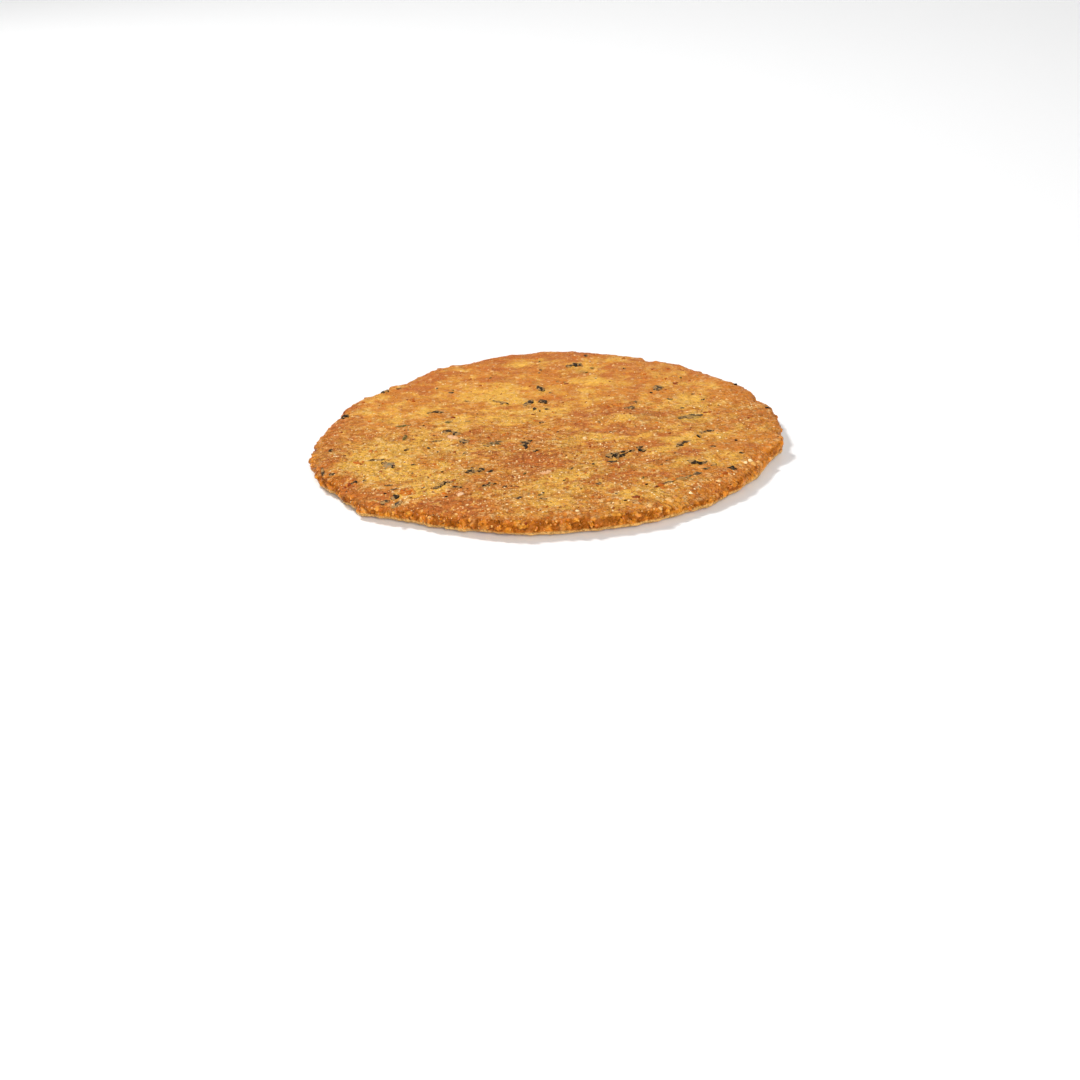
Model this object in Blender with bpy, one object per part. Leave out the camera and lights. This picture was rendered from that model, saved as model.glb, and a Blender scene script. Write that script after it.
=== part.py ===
"""A fenugreek bhakri: one crisp, hand-pressed flatbread, about 114 mm across and 5 mm thick.

The origin is the middle of the underside, on the surface that the bread lies on. +Z is up, and the
stretch of rim at -Y is its front. The baked dough is one solid, with the leaf flecks, meal grains
and rim crumbs that show from a step away fused to it.
"""

import math
import random

import bmesh
import bpy
from mathutils import Matrix, Vector, noise
from mathutils.geometry import delaunay_2d_cdt

MM = 0.001
SEED = 27

# Overall size
RADIUS = 55.5 * MM
THICKNESS = 4.6 * MM

# The outline's slow waves: how many there are round the rim, with their cosine and sine parts in mm
OUTLINE_WAVES = (
    (1, -0.10, -0.50),
    (2, -0.02, 0.00),
    (3, -0.14, -1.43),
    (4, 0.55, 0.35),
)

# Lips (positive) and chips (negative) of the rim: degrees from +X, half-width and change of radius in mm
RIM_CHIPS = (
    (-151.0, 3.0, -1.0),
    (-137.0, 2.4, 1.7),
    (-124.0, 2.6, -0.5),
    (-115.0, 2.4, -0.4),
    (-98.0, 9.0, 0.8),
    (-75.0, 16.0, 0.4),
    (-68.0, 3.0, 0.5),
    (-52.5, 3.2, 0.5),
    (-39.0, 2.6, -0.3),
    (-24.0, 9.0, -1.2),
    (-17.0, 3.2, 0.9),
    (-11.0, 2.2, -0.9),
    (1.0, 3.6, -0.7),
    (13.0, 2.4, -1.9),
    (23.5, 1.6, 0.5),
    (30.0, 1.4, -0.5),
    (40.0, 4.5, -0.3),
    (50.5, 3.0, 0.4),
    (58.0, 1.6, -0.2),
    (61.5, 1.4, 0.7),
    (66.0, 2.0, -0.8),
    (74.0, 3.5, -0.6),
    (92.0, 3.0, 0.7),
    (109.5, 2.4, -1.0),
    (116.0, 1.2, 0.6),
    (131.0, 5.0, -0.7),
    (137.5, 1.4, 1.0),
    (147.3, 1.6, 1.3),
    (154.0, 5.5, 1.0),
    (162.0, 1.6, -1.0),
    (176.0, 8.0, -0.8),
)

# The rim seen in section, from the top's edge round to the underside's: inset in mm, share of the height
RIM_PROFILE = (
    (2.0, 1.00),
    (0.95, 0.98),
    (0.35, 0.91),
    (0.05, 0.76),
    (0.0, 0.52),
    (0.12, 0.29),
    (0.5, 0.12),
    (1.6, 0.03),
)
RIM_POINTS = 276
CRAG_WAVES = ((6.0, 1.0), (2.6, 1.3))  # spacing and depth of the rim's crags in mm
CRAG_BLEND = 1.8  # mm of inset, out from the top's edge, over which the crags grow to their full depth
CRAG_MIDDLE = 0.2  # the lumps' level that leaves the rim where it is
CRAG_RISE = 0.35  # how much of its depth a crag at the top's edge rises

# Stretches of rim whose skin has flaked off: first and last degree, depth in mm
FLAKED_RIM = (
    (-64.0, -47.0, 0.55),
    (-31.0, -22.0, 0.50),
    (8.0, 17.0, 0.45),
    (57.0, 63.0, 0.40),
    (126.0, 134.0, 0.35),
    (-153.0, -146.0, 0.45),
    (196.0, 203.0, 0.30),
)
FLAKE_REACH = 3.2 * MM
FLAKE_FULL = 0.6  # share of the reach that has the full depth
FLAKE_EDGE = math.radians(0.9)

# How far the top falls towards the rim: everywhere, and more about some directions (degrees, half-width, mm)
TOP_FALL = 0.20 * MM
MORE_FALL = ((-47.0, 26.0, 0.80), (-132.0, 20.0, 0.90))
FALL_REACH = 7.0 * MM

# The top's unevenness: spacing and height of its waves in mm
TOP_WAVES = ((26.0, 0.36), (11.0, 0.36), (5.5, 0.26))
LAYER_STEP = 5.37  # between one layer of noise and the next

# Blisters (positive) and pressed hollows (negative) of the top: X, Y, half-width and height in mm
TOP_SWELLS = (
    (18.0, -5.0, 9.0, 0.30),
    (-3.0, -22.0, 7.0, 0.28),
    (-28.0, -44.0, 6.0, 0.26),
    (-16.0, -17.0, 4.5, 0.22),
    (10.0, 10.0, 6.5, 0.24),
    (-27.0, 41.0, 7.0, 0.25),
    (36.0, -22.0, 7.5, 0.22),
    (30.0, 28.0, 7.0, 0.20),
    (-35.0, -20.0, 10.0, -0.30),
    (34.0, 13.0, 6.0, -0.26),
    (-18.0, 4.0, 8.0, -0.20),
    (8.0, 38.0, 7.0, -0.22),
    (4.0, -38.0, 7.0, -0.20),
)

# Long shallow creases where the dough was folded over before pressing: ends in mm, half-width, depth
TOP_CREASES = (
    ((24.0, -39.5), (34.0, -34.5), 0.9, -0.22),
    ((-4.0, -16.0), (21.0, -12.5), 1.6, -0.16),
    ((12.0, -31.0), (38.0, -26.5), 1.6, 0.16),
    ((14.0, 4.0), (43.0, 7.0), 1.8, 0.15),
    ((-21.0, 47.0), (-20.6, 43.5), 0.9, -0.45),
)

# Underside: flat in the middle, and otherwise just clear of the surface but for a ring of low spots
RIM_LIFT = 0.20 * MM
LIFT_START = 0.86  # share of the outline at which the rim starts to lift clear of the griddle
HOLLOW_DEPTH = 0.45 * MM
HOLLOW_SPACING = 15.0 * MM
HOLLOW_LEVEL = 0.12
HOLLOW_LAYER = 9
REST_RADIUS = 14.0 * MM
REST_BLEND = 1.5  # times the rest's radius, where the hollows have their full depth
UNDERSIDE_GAP = 0.15 * MM
LOW_SPOTS = 8
LOW_SPOT_RING = 40.0 * MM
LOW_SPOT_TURN = 0.3
LOW_SPOT_REACH = 3.0 * MM

# How far apart the surface's points are
TOP_SPACING = 3.2 * MM
UNDERSIDE_SPACING = 5.5 * MM
SPACING_GROWTH = 1.3
ROW_RATIO = math.sin(math.radians(60.0))  # from one ring of points to the next, as a share of their spacing
LAST_RING = 0.6  # share of the spacing under which no more rings fit in the middle
JITTER = 0.16

# Leaf flecks lying in the top: X, Y, length and width in mm, direction in degrees, bend in degrees
LEAVES = (
    (15.4, -20.6, 4.8, 1.9, 2, -18),
    (19.4, -18.8, 3.6, 1.5, 52, 60),
    (-17.8, -26.1, 3.6, 1.5, 6, 12),
    (-5.6, -10.8, 4.6, 1.4, -82, 25),
    (-22.9, -0.8, 4.0, 1.9, -28, 30),
    (-20.0, -7.0, 2.4, 1.7, -35, 10),
    (-37.2, -19.4, 3.3, 2.3, -62, 15),
    (-24.2, -33.0, 3.6, 1.3, 55, 35),
    (-34.3, -43.0, 2.8, 1.5, 40, -20),
    (-10.9, 17.9, 3.2, 1.2, -35, 20),
    (-26.7, 13.5, 2.7, 1.2, -5, 10),
    (-0.8, 17.3, 3.2, 1.4, -68, 20),
    (-3.8, 17.4, 3.0, 1.2, 70, -15),
    (-1.3, 26.8, 3.3, 1.5, -65, 15),
    (8.2, 43.3, 3.8, 2.2, 30, 30),
    (28.5, 22.6, 3.6, 1.7, 95, 25),
    (20.4, 9.2, 2.5, 1.7, 35, 10),
    (31.1, -16.5, 3.5, 1.8, 48, 35),
    (37.1, -9.8, 2.6, 1.5, -12, 20),
    (33.2, -28.4, 3.4, 1.8, -40, -45),
    (40.7, -33.0, 2.1, 1.2, 85, 10),
    (34.0, 0.6, 5.4, 1.8, 8, 12),
    (-41.0, 31.2, 2.0, 1.3, 40, 10),
    (-50.1, 14.7, 3.2, 2.0, 76, 20),
    (-12.8, -9.6, 3.0, 1.6, -25, 15),
    (-41.0, -15.9, 2.4, 1.4, -10, 10),
)
LEAF_STATIONS = 5
LEAF_RISE = 0.22 * MM
LEAF_SUNK = 0.30 * MM
LEAF_TIP = 0.08  # where its ends are cut off, as a share of the pointed outline's length
LEAF_FULLNESS = 0.7
LEAF_RAGGED = 0.25
LEAF_CURL = 0.35  # share of its rise

# Meal grains on the top and crumbs on the rim
TOP_GRAINS = 24
TOP_GRAIN_SIZE = (0.55 * MM, 0.85 * MM)
TOP_GRAIN_REACH = 0.93  # share of the outline
RIM_CRUMBS = 22
RIM_CRUMB_SIZE = (0.60 * MM, 0.95 * MM)
RIM_CRUMB_BAND = (0.30, 0.85)  # share of the height
CRUMB_UNEVENNESS = 0.18
CLEARANCE = 0.35 * MM  # left between one fused piece and the next

CRUST_COLOR = (0.60, 0.30, 0.085, 1.0)
CRUST_ROUGHNESS = 0.62


def clear_scene():
    for leftover in list(bpy.data.objects):
        bpy.data.objects.remove(leftover, do_unlink=True)


def smoothstep(start, end, value):
    share = min(1.0, max(0.0, (value - start) / (end - start)))
    return share * share * (3.0 - 2.0 * share)


def waves(x, y, spacing, layer):
    """Smooth noise between about -1 and 1, its hills this far apart. Each layer is another draw."""
    return noise.noise(Vector((x / spacing, y / spacing, SEED + LAYER_STEP * layer)))


def outline_radius(angle):
    """How far the rim is from the middle, in this direction."""
    radius = RADIUS
    for order, cosine, sine in OUTLINE_WAVES:
        radius += (cosine * math.cos(order * angle) + sine * math.sin(order * angle)) * MM
    for degrees, half_width, change in RIM_CHIPS:
        along = math.remainder(angle - math.radians(degrees), math.tau) * RADIUS / MM
        radius += change * math.exp(-((along / half_width) ** 2)) * MM
    return radius


def crease_share(x, y, start, end, half_width):
    """1 on a crease's middle line, falling to 0 beside it and past its ends."""
    start, end = Vector(start) * MM, Vector(end) * MM
    along = (Vector((x, y)) - start).dot(end - start) / (end - start).length_squared
    nearest = start.lerp(end, min(1.0, max(0.0, along)))
    return math.exp(-(((Vector((x, y)) - nearest).length / (half_width * MM)) ** 2))


def top_height(x, y):
    """Height of the top above the surface that the bread lies on."""
    height = THICKNESS
    for layer, (spacing, rise) in enumerate(TOP_WAVES):
        height += rise * MM * waves(x, y, spacing * MM, layer)
    for swell_x, swell_y, half_width, rise in TOP_SWELLS:
        away = math.hypot(x - swell_x * MM, y - swell_y * MM) / (half_width * MM)
        height += rise * MM * math.exp(-away * away)
    for start, end, half_width, rise in TOP_CREASES:
        height += rise * MM * crease_share(x, y, start, end, half_width)
    return height - flaked_depth(x, y) - fall_to_rim(x, y)


def fall_to_rim(x, y):
    """How much lower the pressed edge of the dough is than its middle."""
    angle = math.atan2(y, x)
    fall = TOP_FALL
    for degrees, half_width, more in MORE_FALL:
        away = math.remainder(angle - math.radians(degrees), math.tau) / math.radians(half_width)
        fall += more * MM * math.exp(-away * away)
    inset = outline_radius(angle) - math.hypot(x, y)
    return fall * (1.0 - smoothstep(0.0, FALL_REACH, inset))


def flaked_depth(x, y):
    """How much of the top's skin is missing here, near the rim."""
    angle = math.atan2(y, x)
    inset = outline_radius(angle) - math.hypot(x, y)
    near_rim = 1.0 - smoothstep(FLAKE_FULL * FLAKE_REACH, FLAKE_REACH, inset)
    depth = 0.0
    for first, last, missing in FLAKED_RIM:
        past_first = math.remainder(angle - math.radians(first), math.tau)
        before_last = math.remainder(math.radians(last) - angle, math.tau)
        if abs(past_first) + abs(before_last) > math.pi:
            continue
        inside = smoothstep(-FLAKE_EDGE, FLAKE_EDGE, past_first)
        inside *= smoothstep(-FLAKE_EDGE, FLAKE_EDGE, before_last)
        depth = max(depth, missing * MM * inside * near_rim)
    return depth


def underside_height(x, y):
    """0 where the bread lies flat, more over its shallow hollows and under its lifted rim."""
    radius = math.hypot(x, y)
    share = radius / outline_radius(math.atan2(y, x))
    lift = RIM_LIFT * smoothstep(LIFT_START, 1.0, share)
    hollow = max(0.0, waves(x, y, HOLLOW_SPACING, HOLLOW_LAYER) - HOLLOW_LEVEL)
    off_rest = smoothstep(REST_RADIUS, REST_BLEND * REST_RADIUS, radius)
    nearest_spot = min((Vector((x, y)) - spot).length for spot in low_spots())
    off_rest *= smoothstep(0.0, LOW_SPOT_REACH, nearest_spot)
    return lift + (UNDERSIDE_GAP + HOLLOW_DEPTH * hollow) * off_rest


def low_spots():
    """The ring of points that touch the surface round the flat middle."""
    angles = [LOW_SPOT_TURN + math.tau * index / LOW_SPOTS for index in range(LOW_SPOTS)]
    return [Vector((math.cos(angle), math.sin(angle))) * LOW_SPOT_RING for angle in angles]


def crag(place):
    """Rounded lumps with sharp creases between them, about 0 on average."""
    depth = 0.0
    for spacing, size in CRAG_WAVES:
        lump = abs(noise.noise(place / (spacing * MM) + Vector((0.0, 0.0, SEED + spacing))))
        depth += size * MM * (lump - CRAG_MIDDLE)
    return depth


def rim_point(angle, inset, share):
    """A point of the rim, this far in from the outline and at this share of the height, with its crag."""
    radius = outline_radius(angle) - inset * MM
    x, y = radius * math.cos(angle), radius * math.sin(angle)
    low, high = underside_height(x, y), top_height(x, y)
    height = low + (high - low) * share
    outward = smoothstep(RIM_PROFILE[0][0], RIM_PROFILE[0][0] - CRAG_BLEND, inset)
    out = crag(Vector((x, y, height))) * outward
    rise = CRAG_RISE * out * share
    return Vector((x + out * math.cos(angle), y + out * math.sin(angle), height + rise))


def sheet_points(edge, spacing, draw):
    """Plan points inside the edge, on rings that stand closer together near it."""
    points = [Vector(point.xy) for point in edge]
    edge_share = sum(point.xy.length for point in edge) / len(edge) / RADIUS
    step = math.tau * RADIUS / len(edge)
    share = edge_share
    while True:
        step = min(step * SPACING_GROWTH, spacing)
        share -= step * ROW_RATIO / RADIUS
        if share * RADIUS < LAST_RING * step:
            break
        count = round(math.tau * share * RADIUS / step)
        turn = draw.random()
        for index in range(count):
            angle = math.tau * (index + turn + draw.uniform(-JITTER, JITTER)) / count
            radius = share * outline_radius(angle) + draw.uniform(-JITTER, JITTER) * step
            points.append(Vector((radius * math.cos(angle), radius * math.sin(angle))))
    return points


def add_sheet(mesh, edge_verts, points, height_at, facing_up):
    """Fills the ring of edge vertices with a sheet of triangles through the points, at height_at's heights."""
    count = len(edge_verts)
    edges = [(index, (index + 1) % count) for index in range(count)]
    places = [point / MM for point in points]
    triangles = delaunay_2d_cdt(places, edges, [], 1, 1e-5)[2]
    verts = list(edge_verts)
    for point in points[count:]:
        verts.append(mesh.verts.new((point.x, point.y, height_at(point.x, point.y))))
    for triangle in triangles:
        first, second, third = (places[index] for index in triangle)
        turns_left = (second - first).cross(third - first) > 0.0
        corners = [verts[index] for index in triangle]
        mesh.faces.new(corners if turns_left == facing_up else corners[::-1])


def dough_mesh(draw):
    """The disc of dough: a rim of rows from the profile, closed by the top and the underside."""
    mesh = bmesh.new()
    angles = [math.tau * index / RIM_POINTS for index in range(RIM_POINTS)]
    rows = []
    for inset, share in RIM_PROFILE:
        rows.append([mesh.verts.new(rim_point(angle, inset, share)) for angle in angles])
    for upper, lower in zip(rows, rows[1:]):
        for index in range(RIM_POINTS):
            after = (index + 1) % RIM_POINTS
            mesh.faces.new((upper[index], lower[index], lower[after], upper[after]))
    points = sheet_points([vert.co for vert in rows[0]], TOP_SPACING, draw)
    add_sheet(mesh, rows[0], points, top_height, True)
    spots = low_spots()
    points = sheet_points([vert.co for vert in rows[-1]], UNDERSIDE_SPACING, draw)
    clear = [point for point in points if min((point - spot).length for spot in spots) > LOW_SPOT_REACH]
    add_sheet(mesh, rows[-1], clear + spots, underside_height, False)
    bmesh.ops.triangulate(mesh, faces=mesh.faces[:])
    return mesh


def leaf_width_share(along):
    """The leaf's width at this share of its length: widest in the middle, its ends cut off short."""
    return math.sin(math.pi * (LEAF_TIP + (1.0 - 2.0 * LEAF_TIP) * along)) ** LEAF_FULLNESS


def leaf_mesh(x, y, length, width, direction, bend):
    """A curled scrap of leaf: a pointed strip, both faces split alike, half sunk in the top."""
    mesh = bmesh.new()
    heading = math.radians(direction - bend / 2.0)
    step = length * MM / (LEAF_STATIONS - 1)
    place = Vector((x, y)) * MM - Vector((math.cos(heading), math.sin(heading))) * length * MM / 2.0
    rows = []
    for station in range(LEAF_STATIONS):
        share = station / (LEAF_STATIONS - 1)
        side = Vector((-math.sin(heading), math.cos(heading)))
        half_width = width * MM / 2.0 * leaf_width_share(share)
        half_width *= 1.0 + LEAF_RAGGED * math.sin(5.0 * station + x)
        row = []
        for offset in (half_width, 0.0, -half_width):
            spot = place + side * offset
            surface = top_height(spot.x, spot.y)
            curl = LEAF_CURL * LEAF_RISE * math.sin(2.3 * station + y + offset / MM)
            row.append(
                (
                    mesh.verts.new((spot.x, spot.y, surface + LEAF_RISE + curl)),
                    mesh.verts.new((spot.x, spot.y, surface - LEAF_SUNK)),
                )
            )
        rows.append(row)
        place += Vector((math.cos(heading), math.sin(heading))) * step
        heading += math.radians(bend) / (LEAF_STATIONS - 1)
    for row, after in zip(rows, rows[1:]):
        for side in range(2):
            upper = [row[side][0], row[side + 1][0], after[side + 1][0], after[side][0]]
            lower = [row[side][1], row[side + 1][1], after[side + 1][1], after[side][1]]
            mesh.faces.new(upper)
            mesh.faces.new(lower[::-1])
        for side in (0, 2):
            wall = [row[side][0], after[side][0], after[side][1], row[side][1]]
            mesh.faces.new(wall if side == 0 else wall[::-1])
    for row, flip in ((rows[0], True), (rows[-1], False)):
        for side in range(2):
            cap = [row[side][0], row[side + 1][0], row[side + 1][1], row[side][1]]
            mesh.faces.new(cap[::-1] if flip else cap)
    bmesh.ops.triangulate(mesh, faces=mesh.faces[:])
    bmesh.ops.recalc_face_normals(mesh, faces=mesh.faces[:])
    return mesh


def crumb_mesh(place, radius, draw):
    """A rounded, uneven crumb of 20 faces."""
    mesh = bmesh.new()
    bmesh.ops.create_icosphere(mesh, subdivisions=1, radius=radius)
    for vert in mesh.verts:
        vert.co *= 1.0 + draw.uniform(-CRUMB_UNEVENNESS, CRUMB_UNEVENNESS)
    turn = Matrix.Rotation(draw.uniform(0.0, math.tau), 4, "Z")
    tilt = Matrix.Rotation(draw.uniform(0.0, math.pi), 4, "X")
    bmesh.ops.transform(mesh, matrix=Matrix.Translation(place) @ turn @ tilt, verts=mesh.verts[:])
    return mesh


def has_room(place, radius, taken):
    return all((place - other).length > radius + reach + CLEARANCE for other, reach in taken)


def rim_crumb_place(draw):
    angle = draw.uniform(0.0, math.tau)
    share = draw.uniform(*RIM_CRUMB_BAND)
    for (inset, upper), (next_inset, lower) in zip(RIM_PROFILE, RIM_PROFILE[1:]):
        if lower <= share <= upper:
            along = (upper - share) / (upper - lower)
            return rim_point(angle, inset + (next_inset - inset) * along, share)
    return None


def top_grain_place(draw):
    angle = draw.uniform(0.0, math.tau)
    radius = TOP_GRAIN_REACH * outline_radius(angle) * math.sqrt(draw.random())
    x, y = radius * math.cos(angle), radius * math.sin(angle)
    return Vector((x, y, top_height(x, y)))


def scattered_crumbs(count, sizes, find_place, taken, draw):
    """Crumb meshes half sunk in the dough, each clear of what is already there."""
    crumbs = []
    while len(crumbs) < count:
        place = find_place(draw)
        radius = draw.uniform(*sizes)
        if has_room(place, radius, taken):
            taken.append((place, radius))
            crumbs.append(crumb_mesh(place, radius, draw))
    return crumbs


def fused_pieces(draw):
    """Every scrap, grain and crumb that is joined to the dough."""
    pieces = [leaf_mesh(*leaf) for leaf in LEAVES]
    taken = []
    for x, y, length, width, _direction, _bend in LEAVES:
        height = top_height(x * MM, y * MM)
        taken.append((Vector((x * MM, y * MM, height)), length * MM / 2.0 + width * MM / 4.0))
    pieces += scattered_crumbs(TOP_GRAINS, TOP_GRAIN_SIZE, top_grain_place, taken, draw)
    pieces += scattered_crumbs(RIM_CRUMBS, RIM_CRUMB_SIZE, rim_crumb_place, taken, draw)
    return pieces


def object_from(mesh, name, collection):
    data = bpy.data.meshes.new(name)
    mesh.to_mesh(data)
    mesh.free()
    made = bpy.data.objects.new(name, data)
    collection.objects.link(made)
    return made


def fuse(body, pieces):
    """Joins the pieces to the body with one Boolean union on their collection, then removes them."""
    scraps = bpy.data.collections.new("fused_pieces")
    bpy.context.scene.collection.children.link(scraps)
    for index, mesh in enumerate(pieces):
        object_from(mesh, f"fused_{index}", scraps)
    union = body.modifiers.new("fused_pieces", "BOOLEAN")
    union.operation = "UNION"
    union.operand_type = "COLLECTION"
    union.collection = scraps
    union.solver = "EXACT"
    graph = bpy.context.evaluated_depsgraph_get()
    joined = bpy.data.meshes.new_from_object(body.evaluated_get(graph))
    body.modifiers.clear()
    body.data = joined
    for piece in list(scraps.objects):
        bpy.data.objects.remove(piece, do_unlink=True)
    bpy.data.collections.remove(scraps)


def keep_largest_shell(body):
    """Drops any scrap that the union left loose."""
    mesh = bmesh.new()
    mesh.from_mesh(body.data)
    unseen = set(mesh.verts)
    shells = []
    while unseen:
        shell = {unseen.pop()}
        edge_of_search = list(shell)
        while edge_of_search:
            vert = edge_of_search.pop()
            found = {edge.other_vert(vert) for edge in vert.link_edges} & unseen
            unseen -= found
            shell |= found
            edge_of_search.extend(found)
        shells.append(shell)
    shells.sort(key=len)
    for shell in shells[:-1]:
        bmesh.ops.delete(mesh, geom=list(shell), context="VERTS")
    mesh.to_mesh(body.data)
    mesh.free()


def crust_material():
    material = bpy.data.materials.new("baked_crust")
    material.use_nodes = True
    shader = material.node_tree.nodes["Principled BSDF"]
    shader.inputs["Base Color"].default_value = CRUST_COLOR
    shader.inputs["Roughness"].default_value = CRUST_ROUGHNESS
    return material


def main():
    clear_scene()
    draw = random.Random(SEED)
    body = object_from(dough_mesh(draw), "bhakri", bpy.context.scene.collection)
    fuse(body, fused_pieces(draw))
    keep_largest_shell(body)
    body.data.materials.clear()
    body.data.materials.append(crust_material())
    body.data.shade_smooth()
    body.data.set_sharp_from_angle(angle=math.radians(40.0))


main()
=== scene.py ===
"""The looks of one fenugreek bhakri: toasted dough with a crumbly rim, leaf flecks, meal and bran."""

import math
import random

import bmesh
import bpy
import numpy as np
from mathutils import Matrix, Vector, noise
from mathutils.bvhtree import BVHTree


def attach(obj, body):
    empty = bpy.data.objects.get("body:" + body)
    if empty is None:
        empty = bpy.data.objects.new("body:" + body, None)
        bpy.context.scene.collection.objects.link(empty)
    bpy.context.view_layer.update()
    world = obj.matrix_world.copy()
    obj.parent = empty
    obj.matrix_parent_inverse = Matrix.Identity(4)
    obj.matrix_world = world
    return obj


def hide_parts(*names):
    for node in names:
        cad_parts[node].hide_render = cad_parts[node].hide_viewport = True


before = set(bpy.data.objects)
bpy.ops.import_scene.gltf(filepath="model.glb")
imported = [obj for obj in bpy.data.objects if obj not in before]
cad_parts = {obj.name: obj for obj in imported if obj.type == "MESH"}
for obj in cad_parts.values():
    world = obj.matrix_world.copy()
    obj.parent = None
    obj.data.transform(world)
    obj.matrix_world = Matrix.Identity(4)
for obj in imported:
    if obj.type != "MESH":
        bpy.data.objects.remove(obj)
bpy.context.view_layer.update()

MM = 0.001
SEED = 27
SIZE_SEED = 50  # added to a piece's seed for its sizes, so that they don't follow its places
TONE_SEED = 9
CRUMBS_DRAWN = 300
FLECKS_DRAWN = 40
BODY = "root"
NODE = "bhakri"

TOP_LEVEL = 4.6 * MM  # middle height of the top

# Camera: the photograph's own, fitted to the rim
CAMERA_LENS = 60.0
CAMERA_SENSOR = 36.0
CAMERA_PITCH = math.radians(24.5)
CAMERA_ROLL = math.radians(-3.26)
CAMERA_DEPTH = 433.0 * MM
AIM_PIXEL = (547.5, 425.9)
PHOTO_SIZE = 1080.0

# Dough mesh
VOXEL = 0.48 * MM
UNDERSIDE_KEPT = 0.12  # share of the underside's faces that are kept
FINE_RIM = 4.2 * MM  # width of the rim whose faces are cut in four

ROLLED_ALONG = math.radians(-4.0)  # direction in which the patches and wrinkles run

# Colours, as light reflected
GOLDEN = (0.610, 0.208, 0.020)
YELLOW = (0.850, 0.465, 0.064)
TOASTED = (0.480, 0.120, 0.016)
# Scorched brown of the dough, also the painted shade in the skin's dents, folds and fine hollows
SCORCHED_AND_SHADE = (0.400, 0.090, 0.006)
RUSTY = (0.620, 0.140, 0.008)
RIM_BROWN = (0.780, 0.235, 0.004)
# Pale of the meal grains, also the painted highlight on the skin's ridges and fine bumps
PALE = (0.900, 0.600, 0.260)
# Painted highlight on the skin's ridges and on the tops of the rim's crumbs
HONEY_HIGHLIGHT = (0.900, 0.430, 0.060)
# Painted bounce light on the foot of the rim
KHAKI_BOUNCE_LIGHT = (0.720, 0.420, 0.130)
OLIVE_STAIN = (0.270, 0.190, 0.046)
# Dark brown of the skin's dark specks, also the painted shade in the rim's cracks
CRACK_SHADE_AND_SPECKS = (0.300, 0.072, 0.004)
LEAF_COLORS = ((0.012, 0.008, 0.004), (0.105, 0.066, 0.036), (0.120, 0.090, 0.018), (0.330, 0.255, 0.170))
LEAF_FILM = (0.420, 0.230, 0.080)
CRUMB_COLORS = ((0.520, 0.135, 0.005), (0.720, 0.260, 0.014), (0.900, 0.540, 0.160))
GRAIN_COLORS = ((0.700, 0.340, 0.070), (0.960, 0.760, 0.420))
BRAN_COLORS = ((0.220, 0.036, 0.005), (0.620, 0.160, 0.010))
RUSTY_COLORS = ((0.480, 0.118, 0.008), (0.740, 0.300, 0.048))
SPECK_COLORS = ((0.014, 0.008, 0.005), (0.090, 0.028, 0.008))
PALE_FLAKE_COLORS = ((0.740, 0.380, 0.160), (0.820, 0.480, 0.250))

# Places on the top in mm: X, Y, half-width along X, half-width along Y, strength
YELLOW_PATCHES = (
    (-35, -18, 11, 14, 1.0),
    (-30, -33, 6, 7, 0.7),
    (34, 14, 5, 4, 0.7),
    (10, 38, 4, 7, 0.5),
    (33, -13, 7, 3, 0.4),
    (5, -38, 9, 5, 0.25),
    (20, -43, 5, 4, 0.3),
    (-12, 6, 12, 7, 0.4),
    (-8, 22, 10, 8, 0.4),
    (-16, -12, 5, 4, 0.5),
    (30, 24, 6, 6, 0.35),
    (-2, -46, 7, 4, 0.3),
)
BROWN_PATCHES = (
    (-28, -46, 12, 6, 1.0),
    (-40, -38, 7, 6, 0.7),
    (-12, -52, 8, 3, 0.4),
    (36, -42, 6, 3, 0.4),
    (-15, -17, 4, 4, 0.8),
    (-3, -22, 8, 6, 0.8),
    (18, -6, 10, 5, 0.7),
    (22, 5, 7, 3, 0.7),
    (8, -10, 24, 14, 0.38),
    (0, 36, 40, 14, 0.22),
    (8, 10, 4, 3, 0.6),
    (-27, 41, 8, 5, 0.6),
    (20, -26, 7, 3, 0.5),
    (15, -35, 6, 3, 0.45),
    (22, 28, 5, 8, 0.35),
    (-52, 0, 3, 30, 0.6),
    (-47, -30, 4, 9, 0.5),
    (0, 53, 30, 4, 0.6),
    (40, 36, 12, 6, 0.6),
    (36, -3, 6, 3, 0.4),
)
STAINS = (
    (34, 0.8, 3.4, 1.4, 0.9),
    (24.5, 4, 4, 2, 0.5),
    (29, -37.5, 4.5, 0.8, 0.8),
    (-35, 5.4, 2.2, 0.9, 0.9),
    (-24, 6.3, 2.0, 1.2, 0.6),
    (-34.3, -2.5, 0.8, 1.8, 0.8),
    (-14, -9.5, 3.2, 2.2, 0.6),
    (-4.7, 14.5, 2.6, 3.6, 0.45),
    (-21, -8, 3.5, 2.4, 0.5),
    (9.8, 38.5, 1.6, 3.5, 0.55),
    (-14, -35.5, 3.0, 2.0, 0.5),
    (-8, -43, 3.0, 1.6, 0.45),
    (13, 38, 1.0, 3.0, 0.35),
    (38, 8, 7, 2.4, 0.35),
    (21, 8.6, 2.4, 1.6, 0.5),
    (10.3, -37.5, 2, 0.8, 0.4),
)


def remapped(value, low, high):
    """A smooth 0 to 1 as value goes from low to high."""
    share = np.clip((value - low) / (high - low), 0.0, 1.0)
    return share * share * (3.0 - 2.0 * share)


# Node helpers


def add_node(tree, kind, inputs=None, **settings):
    """A node with these settings. Inputs maps a socket's name or number to a value or an output."""
    made = tree.nodes.new(kind)
    for name, value in settings.items():
        setattr(made, name, value)
    for key, value in (inputs or {}).items():
        if isinstance(value, bpy.types.NodeSocket):
            tree.links.new(value, made.inputs[key])
        else:
            made.inputs[key].default_value = value
    return made


def calculate(tree, operation, first, second=0.0, third=0.0):
    inputs = {0: first, 1: second, 2: third}
    return add_node(tree, "ShaderNodeMath", inputs, operation=operation).outputs[0]


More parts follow.
